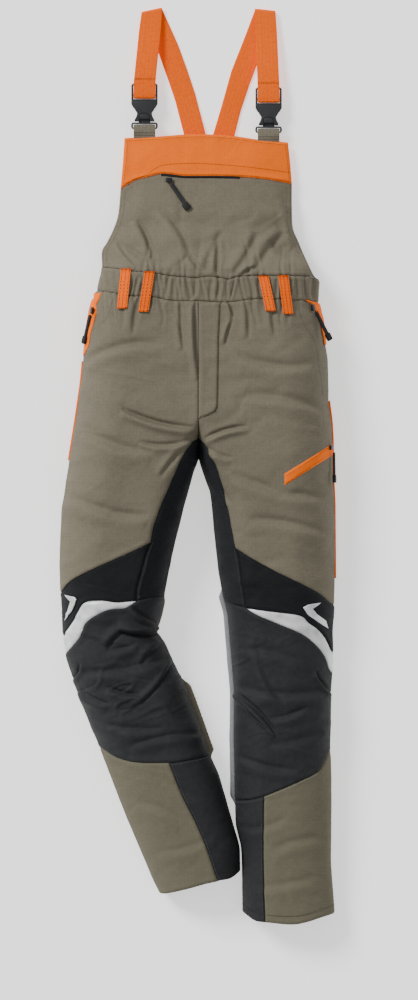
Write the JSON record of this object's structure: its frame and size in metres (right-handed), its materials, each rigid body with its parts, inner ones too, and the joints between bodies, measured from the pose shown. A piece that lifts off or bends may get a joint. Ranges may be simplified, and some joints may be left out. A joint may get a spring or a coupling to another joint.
{
  "type": "chainsaw protective bib overalls",
  "caption": "Bib-and-brace work overalls with padded legs, black knee bands, reflective stripes, zipped pockets and buckled orange braces, laid on their back.",
  "frame": {"origin": "middle of the garment's outline, on the surface it lies on", "axes": "+Y from the hems to the braces, +Z out of the front, +X to the wearer's left"},
  "size_m": [0.4892, 1.6321, 0.1184],
  "materials": {
    "beige_twill": "khaki stretch twill, matt",
    "shin_twill": "khaki abrasion-resistant twill, matt",
    "orange_twill": "hi-vis orange twill, matt",
    "orange_webbing": "orange woven webbing",
    "charcoal_ripstop": "charcoal coated ripstop",
    "black_fabric": "black hard-wearing fabric",
    "gusset_fabric": "black four-way stretch fabric",
    "reflective_tape": "silver glass-bead reflective tape",
    "pad_fibre": "layered long cut-protection fibre",
    "beige_webbing": "khaki woven webbing",
    "buckle_plastic": "dark slate moulded acetal",
    "zip_tape": "black zip tape with moulded teeth",
    "zip_metal": "gunmetal zip slider",
    "pull_rubber": "black cord pull with a moulded end"
  },
  "bodies": {
    "garment": {"thigh_panel_right": "beige_twill", "gusset_right": "gusset_fabric", "knee_band_right": "black_fabric", "reflective_stripe_right": "reflective_tape", "knee_panel_right": "charcoal_ripstop", "shin_panel_right": "shin_twill", "inner_shin_panel_right": "charcoal_ripstop", "back_panel_right": "charcoal_ripstop", "cut_protection_pad_right": "pad_fibre", "knee_chevron_right": "reflective_tape", "pocket_facing_right": "orange_twill", "side_piping_right": "orange_webbing", "buckle_plug_right": "buckle_plastic", "buckle_tab_right": "beige_webbing", "thigh_panel_left": "beige_twill", "gusset_left": "gusset_fabric", "knee_band_left": "black_fabric", "reflective_stripe_left": "reflective_tape", "knee_panel_left": "charcoal_ripstop", "shin_panel_left": "shin_twill", "inner_shin_panel_left": "charcoal_ripstop", "back_panel_left": "charcoal_ripstop", "cut_protection_pad_left": "pad_fibre", "knee_chevron_left": "reflective_tape", "pocket_facing_left": "orange_twill", "side_piping_left": "orange_webbing", "buckle_plug_left": "buckle_plastic", "buckle_tab_left": "beige_webbing", "waistband_front": "beige_twill", "waistband_back": "beige_twill", "waist_elastic": "black_fabric", "bib_panel": "beige_twill", "bib_yoke": "orange_twill", "bib_zip_tape": "zip_tape", "back_yoke": "beige_twill", "fly_placket": "beige_twill", "fly_zip_tape": "zip_tape", "belt_loop_right_side": "orange_webbing", "belt_loop_right_front": "orange_webbing", "belt_loop_left_front": "orange_webbing", "belt_loop_left_side": "orange_webbing", "thigh_pocket_welt": "orange_twill"},
    "brace_right": {"brace_webbing_right": "orange_webbing", "buckle_socket_right": "buckle_plastic"},
    "brace_left": {"brace_webbing_left": "orange_webbing", "buckle_socket_left": "buckle_plastic"},
    "button_right": {"buckle_button_right": "buckle_plastic"},
    "button_left": {"buckle_button_left": "buckle_plastic"},
    "bib_slider": {"bib_zip_slider": "zip_metal"},
    "bib_pull": {"bib_zip_pull": "pull_rubber"},
    "pocket_slider_right": {"pocket_zip_slider_right": "zip_metal"},
    "pocket_pull_right": {"pocket_zip_pull_right": "pull_rubber"},
    "pocket_slider_left": {"pocket_zip_slider_left": "zip_metal"},
    "pocket_pull_left": {"pocket_zip_pull_left": "pull_rubber"},
    "thigh_slider": {"thigh_zip_slider": "zip_metal"},
    "thigh_pull": {"thigh_zip_pull": "pull_rubber"},
    "fly_slider": {"fly_zip_slider": "zip_metal"}
  },
  "joints": [
    {"name": "brace_right_unclip", "type": "slide", "parent": "garment", "child": "brace_right", "axis": [0, 1, 0], "range_m": [0, 0.03]},
    {"name": "brace_left_unclip", "type": "slide", "parent": "garment", "child": "brace_left", "axis": [0, 1, 0], "range_m": [0, 0.03]},
    {"name": "buckle_button_right_press", "type": "slide", "parent": "garment", "child": "button_right", "axis": [0, 0, -1], "range_m": [0, 0.0015], "stiffness_N_per_m": 1000},
    {"name": "buckle_button_left_press", "type": "slide", "parent": "garment", "child": "button_left", "axis": [0, 0, -1], "range_m": [0, 0.0015], "stiffness_N_per_m": 1000},
    {"name": "bib_zip_slide", "type": "slide", "parent": "garment", "child": "bib_slider", "axis": [1, 0, 0], "range_m": [0, 0.112]},
    {"name": "bib_pull_swing", "type": "hinge", "parent": "bib_slider", "child": "bib_pull", "pos_m": [-0.048, 0.5015, 0.04283], "axis": [-0.8382, -0.5265, 0.1425], "range_deg": [0, 120]},
    {"name": "pocket_zip_right_slide", "type": "slide", "parent": "garment", "child": "pocket_slider_right", "axis": [-0.1281, -0.9917, 0.01], "range_m": [0, 0.11]},
    {"name": "pocket_pull_right_swing", "type": "hinge", "parent": "pocket_slider_right", "child": "pocket_pull_right", "pos_m": [-0.19187, 0.268, 0.05845], "axis": [-0.4234, 0.316, -0.8491], "range_deg": [0, 110]},
    {"name": "pocket_zip_left_slide", "type": "slide", "parent": "garment", "child": "pocket_slider_left", "axis": [0.1477, -0.989, -0.0069], "range_m": [0, 0.11]},
    {"name": "pocket_pull_left_swing", "type": "hinge", "parent": "pocket_slider_left", "child": "pocket_pull_left", "pos_m": [0.20941, 0.2735, 0.0687], "axis": [-0.5329, -0.3708, 0.7606], "range_deg": [0, 110]},
    {"name": "thigh_zip_slide", "type": "hinge", "parent": "garment", "child": "thigh_slider", "pos_m": [0.16182, -0.01276, 0.02773], "axis": [0.5198, -0.8543, -0.002], "range_deg": [0, 70]},
    {"name": "thigh_pull_swing", "type": "hinge", "parent": "thigh_slider", "child": "thigh_pull", "pos_m": [0.2417, 0.024, 0.04942], "axis": [-0.2332, -0.0126, 0.9723], "range_deg": [0, 45]},
    {"name": "fly_zip_slide", "type": "slide", "parent": "garment", "child": "fly_slider", "axis": [0, -0.9955, 0.0943], "range_m": [0, 0.164]}
  ],
  "couplings": [
    {"joint": "thigh_pull_swing", "follows": "thigh_zip_slide", "ratio": 0.6}
  ]
}
